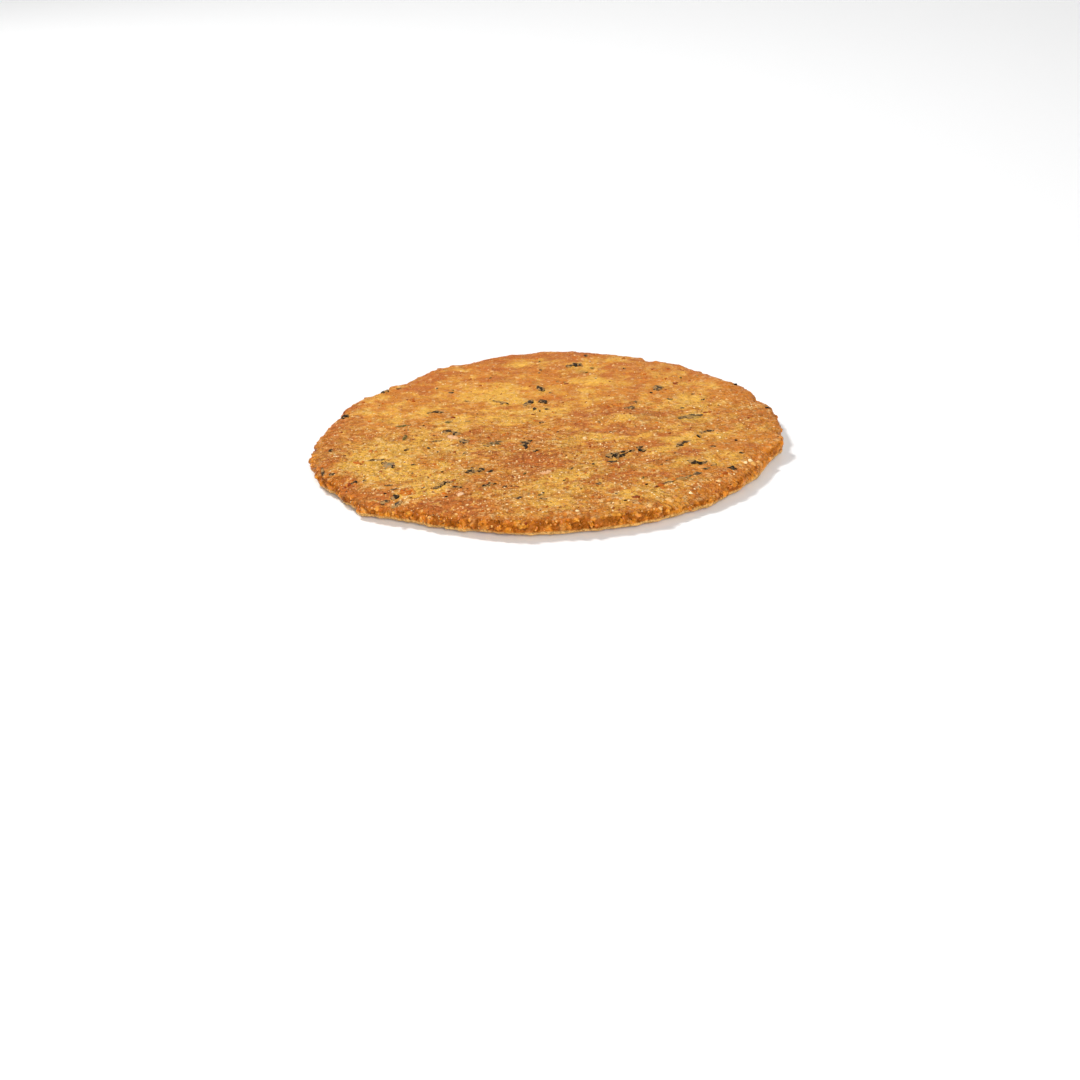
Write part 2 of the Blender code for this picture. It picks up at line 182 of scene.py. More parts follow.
def product(tree, first, second):
    return calculate(tree, "MULTIPLY", first, second)


def vector_math(tree, operation, inputs):
    return add_node(tree, "ShaderNodeVectorMath", inputs, operation=operation).outputs[0]


def remap(tree, value, low, high, to_low=0.0, to_high=1.0, kind="SMOOTHSTEP"):
    inputs = {"Value": value, "From Min": low, "From Max": high, "To Min": to_low, "To Max": to_high}
    return add_node(tree, "ShaderNodeMapRange", inputs, interpolation_type=kind).outputs[0]


def noise_value(tree, place, scale, detail=3.0, roughness=0.5, distortion=0.0):
    inputs = {
        "Vector": place,
        "Scale": scale,
        "Detail": detail,
        "Roughness": roughness,
        "Distortion": distortion,
    }
    return add_node(tree, "ShaderNodeTexNoise", inputs).outputs[0]


def mixed(tree, share, first, second):
    """First colour at 0, second at 1."""
    inputs = {0: share}
    for socket, color in ((6, first), (7, second)):
        inputs[socket] = color if isinstance(color, bpy.types.NodeSocket) else (*color, 1.0)
    return add_node(tree, "ShaderNodeMix", inputs, data_type="RGBA").outputs[2]


def tinted(tree, color, tint, mask, strength):
    """The colour with the tint mixed in where the mask is 1, up to this strength."""
    return mixed(tree, product(tree, mask, strength), color, tint)


def shifted(tree, place, offset, stretch=(1.0, 1.0, 1.0), turn=0.0):
    inputs = {"Vector": place, "Location": offset, "Rotation": (0.0, 0.0, turn), "Scale": stretch}
    return add_node(tree, "ShaderNodeMapping", inputs).outputs[0]


# Camera, light and floor


def place_camera():
    forward = Vector((0.0, math.cos(CAMERA_PITCH), -math.sin(CAMERA_PITCH)))
    level_up = Vector((1.0, 0.0, 0.0)).cross(forward)
    right = Vector((1.0, 0.0, 0.0)) * math.cos(CAMERA_ROLL) + level_up * math.sin(CAMERA_ROLL)
    up = level_up * math.cos(CAMERA_ROLL) - Vector((1.0, 0.0, 0.0)) * math.sin(CAMERA_ROLL)
    pixels_per_radian = CAMERA_LENS / CAMERA_SENSOR * PHOTO_SIZE
    across = (AIM_PIXEL[0] - PHOTO_SIZE / 2.0) / pixels_per_radian * CAMERA_DEPTH
    upward = (PHOTO_SIZE / 2.0 - AIM_PIXEL[1]) / pixels_per_radian * CAMERA_DEPTH
    data = bpy.data.cameras.new("camera")
    data.lens = CAMERA_LENS
    data.sensor_width = CAMERA_SENSOR
    data.clip_start = 0.01
    camera = bpy.data.objects.new("camera", data)
    place = Matrix((right, up, -forward)).transposed().to_4x4()
    place.translation = Vector((0.0, 0.0, TOP_LEVEL)) - forward * CAMERA_DEPTH - right * across - up * upward
    camera.matrix_world = place
    bpy.context.scene.collection.objects.link(camera)
    bpy.context.scene.camera = camera


def soft_light(name, place, size, power, aim=(0.0, 0.0, 0.0)):
    data = bpy.data.lights.new(name, "AREA")
    data.shape = "DISK"
    data.size = size
    data.energy = power
    light = bpy.data.objects.new(name, data)
    light.location = place
    light.rotation_euler = (Vector(aim) - Vector(place)).to_track_quat("-Z", "Y").to_euler()
    bpy.context.scene.collection.objects.link(light)


def light_the_studio():
    soft_light("window_behind_left", (-0.55, 0.45, 0.85), 0.25, 9.5)
    soft_light("bounce_front", (0.15, -1.0, 0.5), 0.5, 10.6)
    soft_light("floor_wash", (0.5, 1.5, 0.8), 0.9, 5.0, (0.5, 1.5, 0.0))
    world = bpy.data.worlds.new("studio")
    world.use_nodes = True
    background = world.node_tree.nodes["Background"]
    background.inputs["Color"].default_value = (1.0, 1.0, 1.0, 1.0)
    background.inputs["Strength"].default_value = 0.28
    bpy.context.scene.world = world
    bpy.context.scene.view_settings.view_transform = "Standard"


def lay_floor():
    size = 12.0
    mesh = bmesh.new()
    bmesh.ops.create_grid(mesh, x_segments=1, y_segments=1, size=size / 2.0)
    floor = object_from(mesh, "floor")
    material = bpy.data.materials.new("pale_floor")
    material.use_nodes = True
    shader = material.node_tree.nodes["Principled BSDF"]
    shader.inputs["Base Color"].default_value = (0.93, 0.93, 0.93, 1.0)
    shader.inputs["Roughness"].default_value = 0.6
    floor.data.materials.append(material)


def object_from(mesh, name):
    data = bpy.data.meshes.new(name)
    mesh.to_mesh(data)
    mesh.free()
    made = bpy.data.objects.new(name, data)
    bpy.context.scene.collection.objects.link(made)
    return made


def evaluated_copy(source, name):
    """A plain mesh object of what the source's modifiers make."""
    graph = bpy.context.evaluated_depsgraph_get()
    data = bpy.data.meshes.new_from_object(source.evaluated_get(graph))
    data.name = name
    made = bpy.data.objects.new(name, data)
    bpy.context.scene.collection.objects.link(made)
    return made


# Dough


def fine_dough():
    """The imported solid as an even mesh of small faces, with wider ones on the underside."""
    mesh = bmesh.new()
    mesh.from_mesh(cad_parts[NODE].data)
    bmesh.ops.remove_doubles(mesh, verts=mesh.verts[:], dist=1e-7)
    rough = object_from(mesh, "rough_dough")
    remesh = rough.modifiers.new("even_faces", "REMESH")
    remesh.mode = "VOXEL"
    remesh.voxel_size = VOXEL
    even = evaluated_copy(rough, "even_dough")
    bpy.data.objects.remove(rough, do_unlink=True)
    thin_the_underside(even)
    dough = evaluated_copy(even, "dough")
    bpy.data.objects.remove(even, do_unlink=True)
    cut_the_rim(dough.data)
    return dough


def thin_the_underside(even):
    """Widens the faces of the flat underside, which needs few."""
    places, normals = vertex_arrays(even.data)
    below = np.nonzero((places[:, 2] < 0.5 * MM) & (normals[:, 2] < -0.9))[0]
    group = even.vertex_groups.new(name="underside")
    group.add([int(index) for index in below], 1.0, "REPLACE")
    thin = even.modifiers.new("wider_underside", "DECIMATE")
    thin.ratio = 1.0 - len(below) / len(places) * (1.0 - UNDERSIDE_KEPT)
    thin.vertex_group = group.name


def cut_the_rim(data):
    """Cuts the rim's faces in four, for the crumbs."""
    places, normals = vertex_arrays(data)
    inset = outline_reach(places) - np.hypot(places[:, 0], places[:, 1])
    rim = (inset < FINE_RIM) & (normals[:, 2] > -0.6)
    mesh = bmesh.new()
    mesh.from_mesh(data)
    cut = [edge for edge in mesh.edges if rim[edge.verts[0].index] and rim[edge.verts[1].index]]
    bmesh.ops.subdivide_edges(mesh, edges=cut, cuts=1, smooth=0.6, use_grid_fill=True)
    mesh.to_mesh(data)
    mesh.free()


def vertex_arrays(data):
    places = np.empty(len(data.vertices) * 3)
    data.vertices.foreach_get("co", places)
    normals = np.empty(len(data.vertices) * 3)
    data.vertices.foreach_get("normal", normals)
    return places.reshape(-1, 3), normals.reshape(-1, 3)


def outline_reach(places):
    """How far the rim is from the middle, for each place's direction."""
    turns = 720
    angles = np.arctan2(places[:, 1], places[:, 0])
    radii = np.hypot(places[:, 0], places[:, 1])
    bins = np.floor((angles / math.tau + 0.5) * turns).astype(int) % turns
    reach = np.zeros(turns)
    np.maximum.at(reach, bins, radii)
    smooth = (np.roll(reach, 1) + reach + np.roll(reach, -1)) / 3.0
    centres = (np.arange(turns) + 0.5) / turns * math.tau - math.pi
    return np.interp(angles, centres, smooth, period=math.tau)


def patch_weights(places, patches):
    """How strongly each place belongs to the patches, from 0 to 1."""
    total = np.zeros(len(places))
    for x, y, half_x, half_y, strength in patches:
        away = ((places[:, 0] / MM - x) / half_x) ** 2 + ((places[:, 1] / MM - y) / half_y) ** 2
        total = np.maximum(total, strength * np.exp(-away))
    return total


def store(data, name, values):
    attribute = data.attributes.get(name) or data.attributes.new(name, "FLOAT", "POINT")
    attribute.data.foreach_set("value", values.astype(np.float32))


def crumbliness(places):
    """How coarse the rim is: 1 on the front, less at the right, little on the far side."""
    front = 0.15 + 0.85 * remapped(-places[:, 1], -30.0 * MM, 16.0 * MM)
    turn = np.degrees(np.arctan2(places[:, 1], places[:, 0]))
    return front * (1.0 - 0.5 * np.exp(-(((turn + 25.0) / 20.0) ** 2)))


def store_zones(dough):
    """Writes on each vertex how far in from the rim it is, and which patches it lies in."""
    places, normals = vertex_arrays(dough.data)
    inset = outline_reach(places) - np.hypot(places[:, 0], places[:, 1])
    upward = remapped(normals[:, 2], -0.2, 0.5)
    store(dough.data, "inset", inset)
    store(dough.data, "crumbly", crumbliness(places))
    store(dough.data, "underneath", remapped(-normals[:, 2], 0.6, 0.95) * remapped(inset, 1.5 * MM, 4.0 * MM))
    store(dough.data, "yellow", patch_weights(places, YELLOW_PATCHES) * upward)
    store(dough.data, "brown", patch_weights(places, BROWN_PATCHES) * upward)
    store(dough.data, "stain", patch_weights(places, STAINS) * upward)


def geometry_tree(name, sizes):
    """An empty Geometry Nodes tree with a geometry in and out, and an input for each of these named sizes, of
    its value's kind.
    """
    tree = bpy.data.node_groups.new(name, "GeometryNodeTree")
    tree.is_modifier = True
    tree.interface.new_socket("Geometry", in_out="INPUT", socket_type="NodeSocketGeometry")
    for size in sizes:
        kind = "NodeSocketInt" if isinstance(sizes[size], int) else "NodeSocketFloat"
        tree.interface.new_socket(size, in_out="INPUT", socket_type=kind)
    tree.interface.new_socket("Geometry", in_out="OUTPUT", socket_type="NodeSocketGeometry")
    return tree, add_node(tree, "NodeGroupInput"), add_node(tree, "NodeGroupOutput")


def run_tree(source, tree, sizes, name):
    """What the tree makes of the source, as a plain mesh object. The source keeps no modifier."""
    modifier = source.modifiers.new(tree.name, "NODES")
    modifier.node_group = tree
    for socket in tree.interface.items_tree:
        if socket.in_out == "INPUT" and socket.name in sizes:
            modifier[socket.identifier] = sizes[socket.name]
    made = evaluated_copy(source, name)
    source.modifiers.remove(modifier)
    return made


def named_value(tree, name):
    return add_node(tree, "GeometryNodeInputNamedAttribute", {"Name": name}, data_type="FLOAT").outputs[0]


RELIEF_SIZES = {
    "Grain Spacing": 1.15 * MM,
    "Grain Depth": 0.13 * MM,
    "Skin Depth": 0.12 * MM,
    "Crumb Spacing": 2.20 * MM,
    "Crumb Depth": 0.68 * MM,
    "Rim Width": 4.0 * MM,
}


def lumps(tree, place, spacing, detail):
    """Rounded lumps this far apart, 1 on their tops and 0 in the cracks between them."""
    scale = calculate(tree, "DIVIDE", 1.0, spacing)
    inputs = {"Vector": place, "Scale": scale, "Detail": detail}
    wobble = add_node(tree, "ShaderNodeTexNoise", inputs).outputs["Color"]
    wobble = vector_math(tree, "SUBTRACT", {0: wobble, 1: (0.5, 0.5, 0.5)})
    wobble = vector_math(tree, "SCALE", {0: wobble, "Scale": spacing})
    inputs = {"Vector": vector_math(tree, "ADD", {0: place, 1: wobble}), "Scale": scale}
    cells = add_node(tree, "ShaderNodeTexVoronoi", inputs, feature="F1").outputs["Distance"]
    return remap(tree, cells, 0.75, 0.0)


def rim_share(tree, given, place, normal):
    """1 on the rim and 0 on the top, along a wavering line."""
    uneven = remap(tree, noise_value(tree, place, 150.0), 0.35, 0.65, 0.35, 1.5, "LINEAR")
    reach = product(tree, given["Rim Width"], uneven)
    rim = remap(tree, calculate(tree, "DIVIDE", named_value(tree, "inset"), reach), 1.0, 0.3)
    slope = add_node(tree, "ShaderNodeSeparateXYZ", {0: normal}).outputs[2]
    return product(tree, rim, remap(tree, slope, 0.97, 0.7, 0.45, 1.0))


def top_relief(tree, given, place):
    """Fine grain, and thin flakes of skin with low steps between them."""
    grain = calculate(tree, "SUBTRACT", lumps(tree, place, given["Grain Spacing"], 1.0), 0.5)
    grainy = remap(tree, noise_value(tree, place, 160.0, 2.0), 0.38, 0.62, 0.35, 1.25)
    grain = product(tree, product(tree, grain, grainy), given["Grain Depth"])
    flakes = remap(tree, noise_value(tree, place, 210.0, 3.0, 0.6, 0.3), 0.47, 0.53)
    skin = product(tree, calculate(tree, "SUBTRACT", flakes, 0.5), given["Skin Depth"])
    return calculate(tree, "ADD", grain, skin)


def crumb_relief(tree, given, place, level):
    """Lumps of two sizes, lower where the rim is smooth and near the underside."""
    large = calculate(tree, "SUBTRACT", lumps(tree, place, given["Crumb Spacing"], 2.0), 0.6)
    half = product(tree, given["Crumb Spacing"], 0.48)
    small = calculate(tree, "SUBTRACT", lumps(tree, place, half, 1.0), 0.5)
    crumb = calculate(tree, "MULTIPLY_ADD", small, 0.5, large)
    crumb = product(tree, product(tree, crumb, given["Crumb Depth"]), named_value(tree, "crumbly"))
    return product(tree, crumb, remap(tree, level, 1.2 * MM, 2.0 * MM, 0.25, 1.0))


def relief_tree(material):
    """Grain and skin on the top, crumb on the rim, and a flat underside."""
    tree, given, result = geometry_tree("crust_relief", RELIEF_SIZES)
    given = given.outputs
    place = add_node(tree, "GeometryNodeInputPosition").outputs[0]
    normal = add_node(tree, "GeometryNodeInputNormal").outputs[0]
    parts = add_node(tree, "ShaderNodeSeparateXYZ", {0: place}).outputs
    rim = rim_share(tree, given, place, normal)
    inputs = {0: rim, 2: top_relief(tree, given, place), 3: crumb_relief(tree, given, place, parts[2])}
    height = add_node(tree, "ShaderNodeMix", inputs, data_type="FLOAT").outputs[0]
    underneath = named_value(tree, "underneath")
    height = product(tree, height, remap(tree, underneath, 0.0, 1.0, 1.0, 0.25))
    stored = given["Geometry"]
    for name, value in (("relief", height), ("rim", rim)):
        inputs = {"Geometry": stored, "Name": name, "Value": value}
        stored = add_node(tree, "GeometryNodeStoreNamedAttribute", inputs, data_type="FLOAT").outputs[0]
    offset = vector_math(tree, "SCALE", {0: normal, "Scale": height})
    moved = add_node(tree, "GeometryNodeSetPosition", {"Geometry": stored, "Offset": offset}).outputs[0]

    # Nothing goes below the surface that the bread lies on
    raised = calculate(tree, "MAXIMUM", parts[2], 0.0)
    above = add_node(tree, "ShaderNodeCombineXYZ", {0: parts[0], 1: parts[1], 2: raised}).outputs[0]
    flat = add_node(tree, "GeometryNodeSetPosition", {"Geometry": moved, "Position": above}).outputs[0]
    whole = add_node(tree, "GeometryNodeRealizeInstances", {"Geometry": flat}).outputs[0]
    inputs = {"Geometry": whole, "Material": material}
    dressed = add_node(tree, "GeometryNodeSetMaterial", inputs).outputs[0]
    tree.links.new(dressed, result.inputs[0])
    return tree


# Small things in the dough


class Surface:
    """The finished dough's faces and heights, for laying small things on it."""

    def __init__(self, data):
        count = len(data.polygons)
        self.places = np.empty(count * 3)
        self.normals = np.empty(count * 3)
        self.areas = np.empty(count)
        data.polygons.foreach_get("center", self.places)
        data.polygons.foreach_get("normal", self.normals)
        data.polygons.foreach_get("area", self.areas)
        self.places = self.places.reshape(-1, 3)
        self.normals = self.normals.reshape(-1, 3)
        self.inset = outline_reach(self.places) - np.hypot(self.places[:, 0], self.places[:, 1])
        corners = [vert.co for vert in data.vertices]
        self.tree = BVHTree.FromPolygons(corners, [polygon.vertices for polygon in data.polygons])

    def height(self, x, y):
        hit = self.tree.ray_cast(Vector((x, y, 2.0 * TOP_LEVEL)), Vector((0.0, 0.0, -1.0)))[0]
        return TOP_LEVEL if hit is None else hit.z

    def seen(self, x, y):
        """The spot of the dough that is seen where a flat top would have this X and Y in mm."""
        eye = bpy.context.scene.camera.matrix_world.translation
        aim = Vector((x * MM, y * MM, TOP_LEVEL))
        hit, normal = self.tree.ray_cast(eye, (aim - eye).normalized())[:2]
        return (aim, Vector((0.0, 0.0, 1.0))) if hit is None else (hit, normal)

    def draw(self, count, weights, seed):
        """Places and normals of this many faces, more where the weights are larger."""
        chances = self.areas * weights
        pick = np.random.default_rng(seed).choice(len(chances), count, p=chances / chances.sum())
        return self.places[pick], self.normals[pick]

    def seen_spots(self, spots):
        """Places and normals of these spots."""
        found = [self.seen(x, y) for x, y in spots]
        return np.array([spot[0] for spot in found]), np.array([spot[1] for spot in found])


def ball(subdivisions):
    """A ball of 20 or 80 faces: its points and triangles."""
    mesh = bmesh.new()
    bmesh.ops.create_icosphere(mesh, subdivisions=subdivisions, radius=1.0)
    points = np.array([vert.co for vert in mesh.verts])
    faces = np.array([[vert.index for vert in face.verts] for face in mesh.faces])
    mesh.free()
    return points, faces


def joined_bits(name, places, normals, sizes, flatness, seed, subdivisions=1, sunk=0.35, unevenness=0.25):
    """One mesh of many uneven bits, each lying partly sunk in the surface, with a tone of its own."""
    draw = np.random.default_rng(seed)
    points, faces = ball(subdivisions)
    count = len(places)
    size = np.asarray(sizes).reshape(-1, 1, 1) * np.ones((count, 1, 1)) / 2.0
    shape = points[None] * (1.0 + draw.uniform(-unevenness, unevenness, (count, len(points), 1)))
    stretch = draw.uniform(0.75, 1.3, (count, 1, 3))
    stretch[:, :, 2] *= flatness
    shape = shape * stretch * size
    tilt = normals + draw.normal(0.0, 0.12, normals.shape)
    tilt /= np.linalg.norm(tilt, axis=1, keepdims=True)
    aside = np.cross(tilt, draw.normal(size=(count, 3)))
    aside /= np.linalg.norm(aside, axis=1, keepdims=True)
    across = np.cross(tilt, aside)
    axes = np.stack([aside, across, tilt], axis=1)
    centre = places - normals * (size[:, :, 0] * flatness * sunk)
    verts = np.einsum("nvk,nkc->nvc", shape, axes) + centre[:, None, :]
    verts = verts.reshape(-1, 3)
    verts[:, 2] = np.maximum(verts[:, 2], 0.02 * MM)
    triangles = (faces[None] + (np.arange(count) * len(points))[:, None, None]).reshape(-1, 3)
    data = bpy.data.meshes.new(name)
    data.from_pydata(verts, [], triangles)
    store(data, "tone", np.repeat(draw.random(count) ** 1.6, len(points)))
    data.shade_smooth()
    made = bpy.data.objects.new(name, data)
    bpy.context.scene.collection.objects.link(made)
    return made


# Leaf flecks: X, Y, length and width in mm, direction and bend in degrees, and a tone
# (0 black-green, 1 grey-brown, 2 olive, 3 pale grey)
LEAF_FLECKS = (
    (15.0, -20.9, 4.6, 2.0, 2, -18, 0.1),
    (16.6, -19.6, 4.4, 0.7, 22, -20, 0.3),
    (18.6, -19.9, 3.4, 0.7, 40, 40, 0.1),
    (20.6, -18.6, 3.4, 1.0, -50, 60, 0.0),
    (20.9, -17.2, 1.8, 0.7, 20, 0, 0.2),
    (22.0, -19.6, 2.4, 0.5, 85, 70, 0.2),
    (-17.8, -26.2, 3.8, 1.6, 6, 12, 0.1),
    (-17.9, -24.6, 2.4, 0.6, 88, 15, 0.5),
    (-15.7, -25.4, 1.8, 0.8, 78, 0, 0.1),
    (-13.8, -26.7, 1.5, 1.1, 10, 0, 0.3),
    (-5.9, -10.2, 3.0, 1.6, -60, 25, 0.5),
    (-4.6, -9.8, 2.0, 0.8, 40, 10, 0.3),
    (-5.5, -12.6, 3.0, 0.7, -88, 10, 0.2),
    (-3.2, -16.0, 1.4, 0.9, 10, 0, 0.2),
    (-24.1, 0.1, 2.6, 1.3, -20, 20, 0.3),
    (-22.2, -1.3, 2.4, 1.9, -30, 20, 0.2),
    (-20.0, -7.0, 2.6, 1.8, -35, 10, 0.6),
    (-26.5, -6.0, 2.6, 0.6, 5, 10, 0.7),
    (-37.2, -19.4, 3.3, 2.2, -62, 15, 2.6),
    (-38.3, -18.2, 1.8, 1.2, -40, 0, 0.1),
    (-36.2, -20.4, 1.4, 0.6, 60, 0, 0.1),
    (-24.4, -33.4, 3.2, 1.0, 60, 25, 0.1),
    (-23.1, -32.0, 2.6, 0.7, 25, 20, 0.3),
    (-25.6, -34.6, 2.0, 0.6, 12, 0, 0.5),
    (-34.3, -43.0, 2.9, 1.5, 40, -20, 0.6),
    (-36.9, -41.0, 2.2, 1.1, 10, 10, 0.4),
    (-10.9, 17.8, 3.6, 1.0, -30, 20, 0.4),
    (-12.4, 19.2, 1.8, 0.6, -20, 0, 0.7),
    (-26.7, 13.5, 3.0, 1.1, -5, 10, 0.3),
    (-28.9, 13.5, 1.4, 0.7, 0, 0, 2.0),
    (-0.8, 17.4, 3.2, 1.4, -68, 20, 0.2),
    (-3.8, 17.5, 2.9, 1.1, 70, -15, 0.4),
    (-4.9, 16.0, 1.9, 1.0, 60, 0, 1.0),
    (-3.0, 12.3, 1.6, 0.9, 80, 0, 0.4),
    (0.2, 11.2, 1.2, 0.7, 0, 0, 0.8),
    (-1.3, 26.7, 3.4, 1.5, -65, 15, 0.2),
    (7.2, 43.2, 2.6, 1.2, 20, 10, 0.6),
    (9.0, 43.9, 2.8, 1.9, 40, 20, 0.2),
    (28.5, 22.6, 3.5, 1.7, 95, 25, 0.6),
    (20.4, 9.2, 2.7, 1.3, 20, 10, 1.2),
    (30.5, -17.2, 2.8, 1.3, 48, 20, 0.3),
    (31.9, -15.6, 2.4, 1.4, 30, 20, 0.6),
    (36.4, -9.9, 1.8, 1.3, -12, 10, 0.2),
    (38.2, -9.4, 1.8, 0.8, 10, 10, 0.5),
    (35.2, -12.0, 1.2, 1.1, 30, 0, 0.0),
    (32.4, -27.6, 3.0, 1.1, -30, -30, 0.2),
    (34.2, -28.6, 2.4, 1.4, 25, -45, 0.1),
    (34.8, -32.4, 1.8, 0.8, 20, 0, 0.4),
    (40.7, -33.0, 2.1, 1.4, 85, 10, 0.0),
    (33.2, 0.3, 3.6, 1.0, 8, 12, 1.3),
    (36.2, 1.2, 3.0, 0.8, 4, 12, 1.2),
    (34.4, 1.8, 2.6, 0.6, 12, 0, 1.4),
    (-41.0, 31.2, 2.2, 1.3, 40, 10, 0.2),
    (-37.4, 32.7, 1.3, 0.6, 20, 0, 0.5),
    (-23.8, 27.5, 1.4, 0.6, 0, 0, 1.2),
    (-19.8, 20.5, 1.1, 0.8, 0, 0, 0.6),
    (-50.1, 14.7, 3.2, 2.1, 76, 20, 0.2),
    (-12.8, -9.6, 3.2, 0.9, -25, 15, 1.4),
    (-11.6, -8.6, 2.2, 0.6, 0, 0, 1.2),
    (-14.4, -10.8, 2.2, 0.6, -12, 0, 1.3),
    (-41.3, -15.8, 1.7, 1.3, -10, 10, 0.1),
    (-39.4, -15.9, 2.0, 0.7, -4, 10, 1.2),
    (-35.0, 5.4, 3.8, 0.9, 8, 10, 2.0),
    (-24.0, 6.3, 1.6, 0.9, 20, 0, 2.0),
    (-34.3, -2.5, 2.6, 0.8, 80, 0, 1.9),
    (-33.5, -10.6, 1.3, 0.9, 10, 0, 0.4),
    (-31.6, -20.0, 1.2, 0.7, 0, 0, 0.5),
    (-51.7, -8.3, 1.7, 1.0, 60, 0, 0.3),
    (-52.3, -21.9, 3.6, 0.6, -80, 5, 0.5),
    (-50.0, -23.6, 1.6, 0.9, 40, 0, 0.3),
    (-44.7, -28.8, 1.7, 1.1, 20, 0, 0.2),
    (-42.2, -28.3, 1.0, 0.7, 0, 0, 0.6),
    (-36.6, -31.8, 1.8, 0.6, 0, 0, 0.8),
    (-35.4, -34.2, 2.0, 0.8, 10, 0, 1.0),
    (-34.8, -38.8, 2.0, 1.4, 20, 0, 0.2),
    (-21.2, -34.8, 2.4, 1.0, 5, 0, 0.2),
    (-14.6, -35.2, 2.4, 0.8, 25, 10, 0.1),
    (-13.2, -34.0, 2.0, 0.6, 0, 0, 0.0),
    (-7.5, -43.0, 1.8, 0.9, 15, 0, 0.8),
    (-2.2, -44.2, 1.8, 0.7, 5, 0, 1.2),
    (14.0, -25.3, 2.4, 0.8, 4, 0, 0.8),
    (15.0, -6.5, 1.6, 0.7, 10, 0, 1.0),
    (37.6, -19.5, 1.5, 0.8, 10, 0, 0.4),
    (43.7, -24.3, 1.0, 0.8, 0, 0, 0.3),
    (30.7, 13.8, 1.5, 0.7, 0, 0, 1.6),
    (10.3, -37.5, 1.4, 0.7, 10, 0, 0.8),
    (29.4, -36.9, 5.0, 0.6, 28, 6, 1.6),
    (25.6, -39.2, 3.2, 0.5, 24, 6, 1.2),
    (32.6, -34.9, 2.2, 0.9, 20, 0, 1.1),
    (36.6, -30.6, 1.6, 0.6, 30, 0, 0.6),
    (10.9, 37.2, 1.4, 0.7, 0, 0, 2.0),
    (12.8, 40.2, 1.2, 0.6, 0, 0, 1.8),
)

# Cream grains, pale flakes, bran, rusty grains and dark specks: X, Y and size in mm
CREAM_GRAINS = (
    (45.4, -31.2, 1.7), (43.9, -30.3, 1.4), (46.8, -30.2, 1.3), (45.0, -29.0, 1.2), (36.8, -40.0, 1.1),
    (35.6, -39.0, 0.7), (13.7, -49.0, 1.5), (14.9, -49.8, 1.1), (8.6, -9.6, 1.2), (16.0, -12.5, 0.9),
    (17.0, -16.0, 1.0), (16.2, -15.2, 0.8), (20.5, -51.3, 1.5), (22.7, -53.0, 1.3), (33.9, 17.0, 0.9),
    (8.0, 25.0, 0.9), (42.3, 13.0, 0.8), (44.5, 11.0, 0.8), (47.0, 12.0, 0.8), (-26.0, 34.0, 0.9),
    (-27.8, 25.0, 1.2), (-40.4, 2.0, 0.9), (-44.0, 2.6, 0.8), (-47.0, -6.6, 0.9), (-29.0, -5.0, 0.7),
    (-20.8, -19.4, 0.8), (-14.0, -42.0, 0.9), (-4.6, -47.6, 0.8), (3.0, -46.0, 0.7), (10.0, -44.0, 0.8),
    (31.8, -11.0, 0.7), (39.0, -5.0, 0.8), (25.0, -10.0, 0.7), (23.8, -21.4, 0.9), (5.0, -52.0, 0.9),
    (-21.0, -50.0, 0.8), (-9.0, -52.0, 0.9), (40.0, -14.0, 0.7), (30.0, -45.6, 0.9), (18.0, 20.0, 0.7),
)
PALE_FLAKES = (
    (-23.0, -4.0, 2.4), (-22.0, -4.8, 1.7), (-1.5, -29.5, 2.2), (-0.4, -28.9, 1.4), (-20.5, -39.0, 2.0),
)
BRAN_FLAKES = (
    (16.2, 11.8, 1.6), (17.6, 11.0, 1.5), (18.4, 12.4, 1.1), (15.4, 10.6, 1.1), (33.1, 24.5, 1.6),
    (33.6, 25.6, 1.1), (5.4, 29.3, 1.6), (4.4, 29.6, 1.0), (36.8, 26.3, 1.0), (38.2, 3.0, 1.3),
    (39.6, 3.2, 1.0), (38.6, 15.9, 0.9), (28.2, 36.5, 1.2), (32.3, 36.3, 1.2), (36.0, 34.0, 1.0),
    (-34.2, 23.8, 1.5), (-33.2, 22.8, 1.2), (-46.0, 24.0, 1.1), (-41.0, 22.5, 1.1), (-43.4, 10.2, 1.3),
    (-22.8, 9.2, 1.4), (-16.3, 31.7, 1.2), (-1.4, 50.3, 1.0), (-14.2, -5.6, 1.2), (-10.7, -4.5, 1.3),
    (-9.6, -3.6, 0.8), (-44.5, -17.0, 1.2), (-43.7, -18.1, 1.0), (-45.5, -30.0, 1.6), (-46.4, -31.4, 1.0),
    (-32.4, -34.4, 1.3), (-33.3, -36.4, 1.4), (-31.6, -37.4, 1.2), (-31.4, -35.6, 1.2), (-33.0, -35.2, 0.9),
    (18.3, -46.2, 1.8), (17.4, -46.0, 1.2), (-5.8, -49.4, 1.1), (-15.4, -49.0, 1.0), (10.3, -29.6, 1.0),
    (13.0, -42.8, 0.9), (8.7, -44.5, 1.0), (26.2, -2.0, 1.2), (28.5, -9.5, 1.0), (-22.0, -30.6, 1.3),
    (-23.2, -31.4, 1.0), (-24.0, -38.0, 1.4), (-23.0, -37.2, 1.1), (38.6, -35.6, 1.5), (37.4, -36.6, 1.1),
    (14.6, 5.4, 1.2), (10.0, 15.0, 0.9), (-37.6, -46.0, 1.2), (24.0, -40.6, 1.8), (23.0, -41.2, 1.2),
    (-3.4, -33.0, 0.9), (21.6, 47.0, 1.1), (40.6, -24.4, 0.9), (31.0, 29.0, 1.0), (-19.0, 37.0, 1.0),
)
